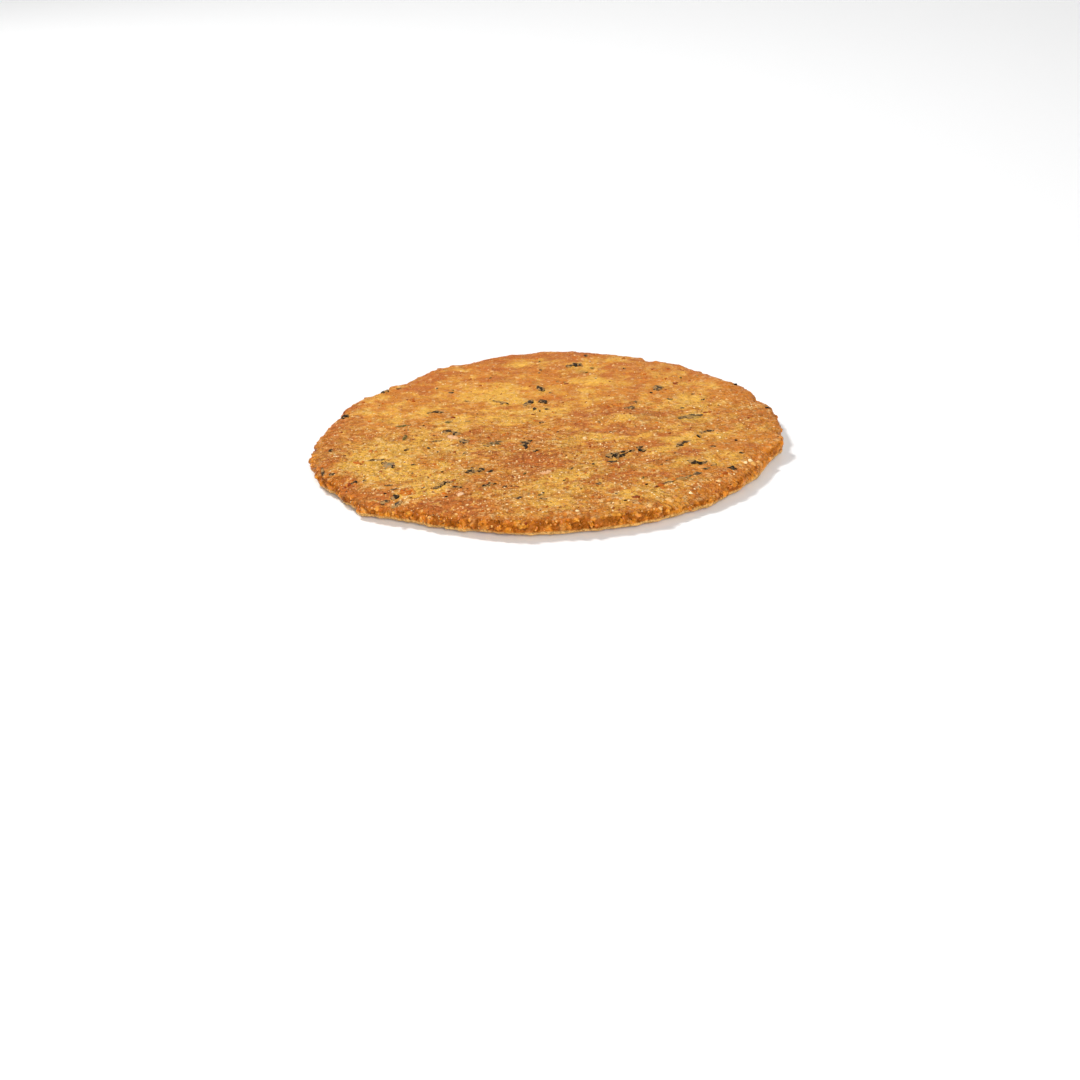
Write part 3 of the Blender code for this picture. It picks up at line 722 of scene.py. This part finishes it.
RUSTY_GRAINS = (
    (-33.4, -35.4, 1.2), (-32.4, -34.8, 1.3), (-31.4, -35.0, 1.1), (-33.0, -36.4, 1.3), (-32.0, -36.0, 1.4),
    (-30.9, -36.1, 1.2), (-32.8, -37.4, 1.2), (-31.7, -37.2, 1.2), (-30.6, -37.3, 0.9), (-34.2, -36.6, 0.9),
    (-45.2, -16.8, 1.3), (-44.2, -17.4, 1.2), (-43.4, -16.6, 0.9), (-42.0, -10.0, 1.2), (-40.6, -10.6, 1.0),
    (-45.4, -29.0, 1.5), (-44.4, -29.8, 1.2), (-46.2, -30.0, 1.1), (16.0, 11.0, 1.4), (17.0, 12.0, 1.5),
    (18.0, 11.2, 1.3), (15.0, 11.6, 1.0), (19.0, 12.2, 1.0), (-23.4, -30.2, 1.2), (-22.4, -31.0, 1.0),
    (-38.4, -43.6, 1.4), (-37.4, -44.6, 1.2), (-36.6, -43.8, 1.0), (-20.6, -49.0, 1.3), (-19.4, -49.4, 1.0),
    (12.0, -46.8, 1.2), (24.2, -42.0, 1.2), (27.0, -37.6, 1.2), (37.8, -36.8, 1.4), (39.4, -34.8, 1.1),
    (-34.4, 23.2, 1.3), (-33.4, 24.0, 1.0), (-12.0, 30.0, 1.1), (26.0, 33.0, 1.2), (5.0, 30.4, 1.2),
    (-26.6, -20.4, 1.0), (-8.0, -15.0, 1.0), (28.0, -16.0, 0.9), (8.0, 2.0, 1.0), (-6.0, -38.6, 1.0),
)
DARK_SPECKS = (
    (-37.1, -36.4, 0.9), (-23.4, -40.0, 0.9), (-31.4, -29.2, 0.7), (-24.7, -25.3, 0.8), (20.8, -39.5, 1.2),
    (15.6, -47.8, 1.2), (2.4, -4.4, 0.8), (7.5, -2.0, 0.6), (42.0, 7.5, 0.7), (-26.2, -13.0, 0.7),
    (-13.2, -15.5, 0.6), (-10.6, -36.5, 1.1), (-9.0, -36.2, 0.7), (39.6, -11.2, 0.6), (25.0, -28.6, 0.6),
    (9.6, -26.0, 0.9), (26.4, -26.4, 0.7), (20.0, -30.6, 0.5), (-24.0, -20.0, 0.6), (-46.0, -34.0, 0.7),
    (43.4, -16.6, 0.6), (28.6, -22.0, 0.6), (-30.0, 5.0, 0.6), (-17.0, 11.0, 0.6), (4.0, 6.0, 0.6),
    (21.0, -3.0, 0.5), (-28.6, -34.0, 0.6), (-12.0, -46.0, 0.6), (6.4, -40.0, 0.6), (-48.0, -12.0, 0.9),
    (48.0, 22.0, 1.0), (53.6, 3.8, 1.2), (13.8, -43.6, 0.6), (-4.0, -20.0, 0.5), (34.0, -6.6, 0.5),
)


def leaf_strip(mesh, tones, surface, x, y, length, width, direction, bend, tone):
    """A torn, curled scrap of leaf that follows the dough: closed, its lower side sunk out of sight."""
    stations = max(5, round(length / 0.32))
    heading = math.radians(direction - bend / 2.0)
    step = length * MM / (stations - 1)
    place = surface.seen(x, y)[0].xy - Vector((math.cos(heading), math.sin(heading))) * length * MM / 2.0
    across = 4
    rows = []
    for station in range(stations):
        share = station / (stations - 1)
        side = Vector((-math.sin(heading), math.cos(heading)))
        full = 1.25 * width * MM / 2.0 * math.sin(math.pi * (0.05 + 0.90 * share)) ** 0.7
        edges = []
        for half in (1.0, -1.0):
            torn = noise.noise(Vector((x + 9.0 * half, y, length * share * 1.3)))
            edges.append(half * full * (1.0 + 1.3 * torn))
        row = []
        for column in range(across + 1):
            offset = edges[0] + (edges[1] - edges[0]) * column / across
            spot = place + side * offset
            rise = noise.noise(Vector((spot.x, spot.y, tone * MM)) / (0.7 * MM))
            height = surface.height(spot.x, spot.y) + (0.16 + 0.20 * rise) * MM
            if column in (0, across):
                height -= 0.10 * MM
            row.append((mesh.verts.new((*spot, height)), mesh.verts.new((*spot, height - 0.3 * MM))))
            tones.extend((tone, tone))
        rows.append(row)
        place += Vector((math.cos(heading), math.sin(heading))) * step
        heading += math.radians(bend) / (stations - 1)
    for row, after in zip(rows, rows[1:]):
        for column in range(across):
            mesh.faces.new((row[column][0], row[column + 1][0], after[column + 1][0], after[column][0]))
            mesh.faces.new((after[column][1], after[column + 1][1], row[column + 1][1], row[column][1]))
        mesh.faces.new((row[0][0], after[0][0], after[0][1], row[0][1]))
        mesh.faces.new((after[across][0], row[across][0], row[across][1], after[across][1]))
    for row, ends in ((rows[0], 1), (rows[-1], -1)):
        for column in range(across):
            cap = [row[column + 1][0], row[column][0], row[column][1], row[column + 1][1]]
            mesh.faces.new(cap[::ends])


def leaf_flecks(surface):
    mesh = bmesh.new()
    tones = []
    draw = random.Random(SEED)
    for fleck in LEAF_FLECKS:
        leaf_strip(mesh, tones, surface, *fleck)
    for _ in range(FLECKS_DRAWN):
        angle = draw.uniform(0.0, math.tau)
        radius = 52.0 * math.sqrt(draw.random())
        size = draw.uniform(0.5, 1.3)
        place = (radius * math.cos(angle), radius * math.sin(angle), size, size * draw.uniform(0.4, 0.8))
        leaf_strip(mesh, tones, surface, *place, draw.uniform(0, 180), 20, draw.choice((0.1, 0.4, 1.0, 1.9)))
    flecks = object_from(mesh, "leaf_flecks")
    store(flecks.data, "tone", np.array(tones))
    flecks.data.shade_smooth()
    return flecks


def rim_crumbs(surface):
    """Baked crumbs that stand out of the rim's wall, most of them at the front."""
    wall = remapped(surface.normals[:, 2], 0.75, 0.45)
    coarse = remapped(crumbliness(surface.places), 0.4, 1.0)
    chances = remapped(surface.inset, 3.2 * MM, 0.8 * MM) * remapped(surface.places[:, 2], 1.6 * MM, 2.3 * MM)
    chances *= 0.15 * wall + coarse * (0.45 + 0.55 * wall)
    places, normals = surface.draw(CRUMBS_DRAWN, chances, SEED)
    sizes = (0.5 + 0.65 * np.random.default_rng(SEED + SIZE_SEED).random(CRUMBS_DRAWN) ** 1.6) * MM
    crumbs = joined_bits("rim_crumbs", places, normals, sizes, 0.75, SEED, sunk=0.75, unevenness=0.3)
    tones = np.random.default_rng(SEED + TONE_SEED).random(CRUMBS_DRAWN) ** 2.4 * 1.7
    store(crumbs.data, "tone", np.repeat(tones, len(crumbs.data.vertices) // CRUMBS_DRAWN))
    return crumbs


def top_chances(surface):
    """How likely a bit is to show on each face: likeliest on the top's front half, away from the rim."""
    near = crumbliness(surface.places)
    facing = remapped(surface.normals[:, 2], 0.3, 0.8)
    chances = facing * (0.2 + 0.8 * near**2) + 0.03 * remapped(near, 0.5, 1.0)
    return chances * (0.35 + 0.65 * remapped(surface.inset, 1.5 * MM, 4.5 * MM))


def scatter_on_top(name, surface, listed, count, span, flatness, seed, material):
    """The listed bits, then as many more as asked, small ones the most common, as one piece."""
    places, normals = surface.seen_spots([bit[:2] for bit in listed])
    more_places, more_normals = surface.draw(count, top_chances(surface), seed)
    small, large = span
    more_sizes = small + (large - small) * np.random.default_rng(seed + SIZE_SEED).random(count) ** 2.2
    sizes = np.concatenate([np.array([bit[2] for bit in listed]), more_sizes]) * MM
    places = np.concatenate([places, more_places])
    normals = np.concatenate([normals, more_normals])
    finish_piece(joined_bits(name, places, normals, sizes, flatness, seed), material)


def pale_flakes(surface):
    """A few large, flat and pale flakes."""
    places, normals = surface.seen_spots([flake[:2] for flake in PALE_FLAKES])
    sizes = [flake[2] * MM for flake in PALE_FLAKES]
    return joined_bits("pale_flakes", places, normals, sizes, 0.16, SEED, subdivisions=2, sunk=0.2)


# Materials


def attribute_value(tree, name):
    return add_node(tree, "ShaderNodeAttribute", attribute_name=name).outputs["Fac"]


def new_material(name, roughness, specular):
    material = bpy.data.materials.new(name)
    material.use_nodes = True
    shader = material.node_tree.nodes["Principled BSDF"]
    shader.inputs["Roughness"].default_value = roughness
    shader.inputs["Specular IOR Level"].default_value = specular
    return material, material.node_tree, shader


def shader_group(name, given, results):
    """An empty shader group with these inputs and outputs: its tree, its inputs and its output node."""
    tree = bpy.data.node_groups.new(name, "ShaderNodeTree")
    for socket in given:
        kind = "NodeSocketVector" if socket == "Place" else "NodeSocketFloat"
        tree.interface.new_socket(socket, in_out="INPUT", socket_type=kind)
    for socket in results:
        tree.interface.new_socket(socket, in_out="OUTPUT", socket_type="NodeSocketFloat")
    return tree, add_node(tree, "NodeGroupInput").outputs, add_node(tree, "NodeGroupOutput")


def placed(tree, group, inputs):
    return add_node(tree, "ShaderNodeGroup", inputs, node_tree=group).outputs


def grains_group():
    """Round grains of one size, some of them showing: how much each spot is a pale, a brown or a dark one."""
    shares = ("Pale Share", "Brown Share", "Dark Share")
    results = ("Pale", "Brown", "Dark", "Height")
    tree, given, result = shader_group("scattered_grains", ("Place", "Scale", "Reach", *shares), results)
    inputs = {"Vector": given["Place"], "Scale": given["Scale"]}
    cells = add_node(tree, "ShaderNodeTexVoronoi", inputs, feature="F1")
    chance = add_node(tree, "ShaderNodeSeparateColor", {0: cells.outputs["Color"]})
    near = calculate(tree, "DIVIDE", cells.outputs["Distance"], given["Reach"])
    dot = remap(tree, near, 1.0, 0.55)
    for number, share in enumerate(shares):
        least = calculate(tree, "SUBTRACT", 1.0, given[share])
        chosen = calculate(tree, "GREATER_THAN", chance.outputs[number], least)
        tree.links.new(product(tree, dot, chosen), result.inputs[results[number]])
    tree.links.new(remap(tree, near, 1.3, 0.0), result.inputs["Height"])
    return tree


def mottle_group():
    """A bit's own tone with fine mottling over it, and the mottling as a height."""
    tree, given, result = shader_group("mottled_tone", ("Place", "Scale", "Tone"), ("Shade", "Height"))
    mottle = noise_value(tree, given["Place"], given["Scale"], 3.0, 0.6)
    shade = calculate(tree, "ADD", calculate(tree, "SUBTRACT", mottle, 0.55), given["Tone"])
    tree.links.new(shade, result.inputs["Shade"])
    tree.links.new(mottle, result.inputs["Height"])
    return tree


def rolled_noise(tree, place, offset, stretch, scale, detail, roughness, distortion=0.0):
    """Noise drawn out along the way that the dough was rolled; the smaller the stretch, the longer."""
    turned = shifted(tree, place, offset, (stretch, 1.0, 1.0), ROLLED_ALONG)
    return noise_value(tree, turned, scale, detail, roughness, distortion)


def crust_zones(tree):
    """What the dough's vertices hold, by name, and how crisp each place is."""
    names = ("yellow", "brown", "stain", "rim", "inset", "relief")
    zones = {name: attribute_value(tree, name) for name in names}
    zones["crisp"] = calculate(tree, "MULTIPLY_ADD", attribute_value(tree, "crumbly"), 0.85, 0.40)
    return zones


def crust_noises(tree, place):
    """The crust's unevenness at several sizes, by name."""
    noises = {
        "broad": rolled_noise(tree, place, (0.0, 0.0, 0.0), 0.88, 105.0, 4.0, 0.6),
        "medium": rolled_noise(tree, place, (0.3, 0.1, 0.0), 1.0, 300.0, 3.0, 0.55),
        "patchy": rolled_noise(tree, place, (0.6, 0.3, 0.1), 0.8, 130.0, 5.0, 0.62),
        "streaks": rolled_noise(tree, place, (0.1, 0.7, 0.2), 0.62, 240.0, 4.0, 0.6),
        "wrinkles": rolled_noise(tree, place, (0.4, 0.2, 0.6), 0.85, 650.0, 3.0, 0.6, 0.4),
        "fine": noise_value(tree, shifted(tree, place, (0.5, 0.2, 0.4)), 1500.0, 3.0, 0.6),
    }
    folds = rolled_noise(tree, place, (0.7, 0.1, 0.3), 0.8, 300.0, 4.0, 0.65, 0.8)
    folds = calculate(tree, "ABSOLUTE", calculate(tree, "SUBTRACT", folds, 0.5))
    noises["folds"] = remap(tree, folds, 0.035, 0.0)
    return noises


def patch_color(tree, zones, noises):
    """Yellow where the dough stayed pale, brown where the griddle touched it; also how brown it is."""
    pale = calculate(tree, "MULTIPLY_ADD", noises["broad"], 0.6, product(tree, noises["medium"], 0.4))
    pale = calculate(tree, "MULTIPLY_ADD", zones["yellow"], 0.19, pale)
    color = mixed(tree, remap(tree, pale, 0.44, 0.62, 0.0, 0.85), GOLDEN, YELLOW)
    toast = calculate(tree, "MULTIPLY_ADD", noises["patchy"], 0.6, product(tree, noises["streaks"], 0.4))
    toast = calculate(tree, "MULTIPLY_ADD", zones["brown"], 0.23, toast)
    toast = calculate(tree, "MULTIPLY_ADD", zones["yellow"], -0.08, toast)
    toasted = remap(tree, toast, 0.50, 0.64, 0.0, 0.85)
    color = mixed(tree, toasted, color, TOASTED)
    edge = remap(tree, zones["inset"], 7.0 * MM, 1.0 * MM)
    edge = product(tree, edge, remap(tree, noises["medium"], 0.3, 0.7))
    color = tinted(tree, color, TOASTED, edge, 0.6)
    verge = remap(tree, zones["inset"], 1.8 * MM, 0.3 * MM)
    verge = product(tree, verge, remap(tree, zones["crisp"], 0.9, 0.5))
    color = tinted(tree, color, SCORCHED_AND_SHADE, verge, 0.5)
    stained = calculate(tree, "MULTIPLY_ADD", noises["streaks"], 0.8, zones["stain"])
    color = mixed(tree, remap(tree, stained, 0.65, 1.3, 0.0, 0.8), color, OLIVE_STAIN)
    return color, toasted


def skin_color(tree, color, toasted, zones, noises, small, large):
    """The colour with wrinkles of painted shade and painted highlight, and grains of meal that show through
    the skin.
    """
    # Painted shade: the folds' creases and the wrinkles' dents darker; the wrinkles' ridges paler as painted
    # highlight, where the bump lowers and raises them
    color = tinted(tree, color, SCORCHED_AND_SHADE, noises["folds"], 0.22)
    dent_shade = product(tree, remap(tree, noises["wrinkles"], 0.47, 0.32, 0.0, 0.52), zones["crisp"])
    color = mixed(tree, dent_shade, color, SCORCHED_AND_SHADE)
    ridge_highlight = product(tree, remap(tree, noises["wrinkles"], 0.53, 0.68, 0.0, 0.55), zones["crisp"])
    color = mixed(tree, ridge_highlight, color, mixed(tree, toasted, PALE, HONEY_HIGHLIGHT))
    # Painted shade in the fine hollows and painted highlight on the fine bumps, from the noise that the bump
    # also follows
    color = mixed(tree, remap(tree, noises["fine"], 0.42, 0.26, 0.0, 0.18), color, SCORCHED_AND_SHADE)
    color = mixed(tree, remap(tree, noises["fine"], 0.60, 0.74, 0.0, 0.35), color, PALE)
    grainy = product(tree, zones["crisp"], remap(tree, noises["medium"], 0.38, 0.62, 0.25, 1.0))
    color = tinted(tree, color, PALE, product(tree, small["Pale"], grainy), 0.7)
    color = tinted(tree, color, SCORCHED_AND_SHADE, small["Brown"], 0.45)
    color = tinted(tree, color, CRACK_SHADE_AND_SPECKS, small["Dark"], 0.8)
    color = tinted(tree, color, PALE, large["Pale"], 0.5)
    return tinted(tree, color, RUSTY, large["Brown"], 0.55)


def rim_color(tree, color, zones, level):
    """The colour with the rim baked darker where it crumbles, painted shade in the cracks, painted highlight
    on the tops of crumbs and painted bounce light on the rim's foot.
    """
    baked = product(tree, zones["rim"], remap(tree, zones["crisp"], 0.55, 1.0, 0.12, 0.5))
    color = mixed(tree, baked, color, RIM_BROWN)
    # Painted light bounced up from below onto the foot of the rim, a pale khaki strip
    bounce_lit_foot = product(tree, remap(tree, level, 1.9 * MM, 1.4 * MM), remap(tree, zones["rim"], 0.3, 0.8))
    color = tinted(tree, color, KHAKI_BOUNCE_LIGHT, bounce_lit_foot, 0.85)
    # Painted shade in the cracks between the crumbs, where the relief is low
    color = tinted(tree, color, CRACK_SHADE_AND_SPECKS, remap(tree, zones["relief"], -0.06 * MM, -0.36 * MM), 0.8)
    # Painted highlight on the tops of the crumbs, where the relief is high
    return tinted(tree, color, HONEY_HIGHLIGHT, remap(tree, zones["relief"], 0.05 * MM, 0.22 * MM), 0.55)


def crust_height(tree, zones, noises, small, large):
    """Grains, wrinkles and folds that are too small for the mesh, lower where the crust isn't crisp."""
    lumpy = calculate(tree, "MULTIPLY_ADD", zones["rim"], 0.4, 0.45)
    height = calculate(tree, "MULTIPLY_ADD", small["Height"], lumpy, noises["fine"])
    height = calculate(tree, "MULTIPLY_ADD", large["Height"], 0.9, height)
    height = calculate(tree, "MULTIPLY_ADD", noises["wrinkles"], 2.2, height)
    height = calculate(tree, "MULTIPLY_ADD", noises["folds"], -0.45, height)
    return product(tree, height, zones["crisp"])


def crust_material():
    material, tree, shader = new_material("toasted_crust", 0.5, 0.14)
    place = add_node(tree, "ShaderNodeTexCoord").outputs["Object"]
    level = add_node(tree, "ShaderNodeSeparateXYZ", {0: place}).outputs[2]
    zones = crust_zones(tree)
    noises = crust_noises(tree, place)
    group = grains_group()
    inputs = {"Scale": 1300.0, "Reach": 0.42, "Pale Share": 0.16, "Brown Share": 0.12, "Dark Share": 0.006}
    small = placed(tree, group, {"Place": place, **inputs})
    inputs = {"Scale": 750.0, "Reach": 0.45, "Pale Share": 0.14, "Brown Share": 0.15, "Dark Share": 0.012}
    large = placed(tree, group, {"Place": shifted(tree, place, (0.2, 0.5, 0.1)), **inputs})

    color, toasted = patch_color(tree, zones, noises)
    color = skin_color(tree, color, toasted, zones, noises, small, large)
    tree.links.new(rim_color(tree, color, zones, level), shader.inputs["Base Color"])
    shine = product(tree, product(tree, small["Height"], zones["crisp"]), 0.22)
    shine = calculate(tree, "MULTIPLY_ADD", zones["rim"], 0.16, shine)
    rough = calculate(tree, "SUBTRACT", remap(tree, noises["fine"], 0.3, 0.7, 0.6, 0.42), shine)
    tree.links.new(rough, shader.inputs["Roughness"])
    height = crust_height(tree, zones, noises, small, large)
    bump = add_node(tree, "ShaderNodeBump", {"Strength": 1.0, "Distance": 0.36 * MM, "Height": height})
    tree.links.new(bump.outputs[0], shader.inputs["Normal"])
    return material


def toned_material(name, mottling, colors, roughness, specular, grain=1500.0, film=None):
    """A material whose colour goes through these as the bit's tone rises, with fine mottling and a film."""
    material, tree, shader = new_material(name, roughness, specular)
    place = add_node(tree, "ShaderNodeTexCoord").outputs["Object"]
    mottled = placed(tree, mottling, {"Place": place, "Scale": grain, "Tone": attribute_value(tree, "tone")})
    color = colors[0]
    for step, deeper in enumerate(colors[1:]):
        color = mixed(tree, remap(tree, mottled["Shade"], step, step + 1.0, kind="LINEAR"), color, deeper)
    if film:
        cover = noise_value(tree, shifted(tree, place, (0.2, 0.3, 0.1)), 1000.0, 2.0, 0.5)
        color = mixed(tree, remap(tree, cover, 0.49, 0.56, 0.0, 0.85), color, film)
    tree.links.new(color, shader.inputs["Base Color"])
    inputs = {"Strength": 0.6, "Distance": 0.12 * MM, "Height": mottled["Height"]}
    bump = add_node(tree, "ShaderNodeBump", inputs)
    tree.links.new(bump.outputs[0], shader.inputs["Normal"])
    return material


def finish_piece(piece, material):
    piece.data.materials.clear()
    piece.data.materials.append(material)
    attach(piece, BODY)
    faces = sum(len(polygon.vertices) - 2 for polygon in piece.data.polygons)
    print(piece.name, faces, "triangles")


def main():
    place_camera()
    light_the_studio()
    lay_floor()
    crust = crust_material()
    mottling = mottle_group()
    dough = fine_dough()
    store_zones(dough)
    bhakri = run_tree(dough, relief_tree(crust), RELIEF_SIZES, "bhakri_dough")
    bpy.data.objects.remove(dough, do_unlink=True)
    bhakri.data.shade_smooth()
    surface = Surface(bhakri.data)
    finish_piece(bhakri, crust)
    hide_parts(NODE)

    crumbs = rim_crumbs(surface)
    finish_piece(crumbs, toned_material("baked_crumbs", mottling, CRUMB_COLORS, 0.28, 0.45))
    leaf = toned_material("fenugreek_leaf", mottling, LEAF_COLORS, 0.45, 0.04, 1600.0, LEAF_FILM)
    finish_piece(leaf_flecks(surface), leaf)

    meal = toned_material("cream_meal", mottling, GRAIN_COLORS, 0.4, 0.3, 2500.0)
    scatter_on_top("meal_grains", surface, CREAM_GRAINS, 3400, (0.2, 0.65), 0.8, SEED + 1, meal)
    bran = toned_material("red_brown_bran", mottling, BRAN_COLORS, 0.5, 0.1)
    scatter_on_top("bran_flakes", surface, BRAN_FLAKES, 650, (0.3, 0.9), 0.45, SEED + 2, bran)
    rusty = toned_material("rusty_meal", mottling, RUSTY_COLORS, 0.45, 0.12)
    scatter_on_top("rusty_grains", surface, RUSTY_GRAINS, 320, (0.3, 0.9), 0.6, SEED + 4, rusty)
    charred = toned_material("charred_specks", mottling, SPECK_COLORS, 0.5, 0.06)
    scatter_on_top("dark_specks", surface, DARK_SPECKS, 190, (0.2, 0.55), 0.5, SEED + 3, charred)
    finish_piece(pale_flakes(surface), toned_material("pale_flake", mottling, PALE_FLAKE_COLORS, 0.5, 0.4))


main()
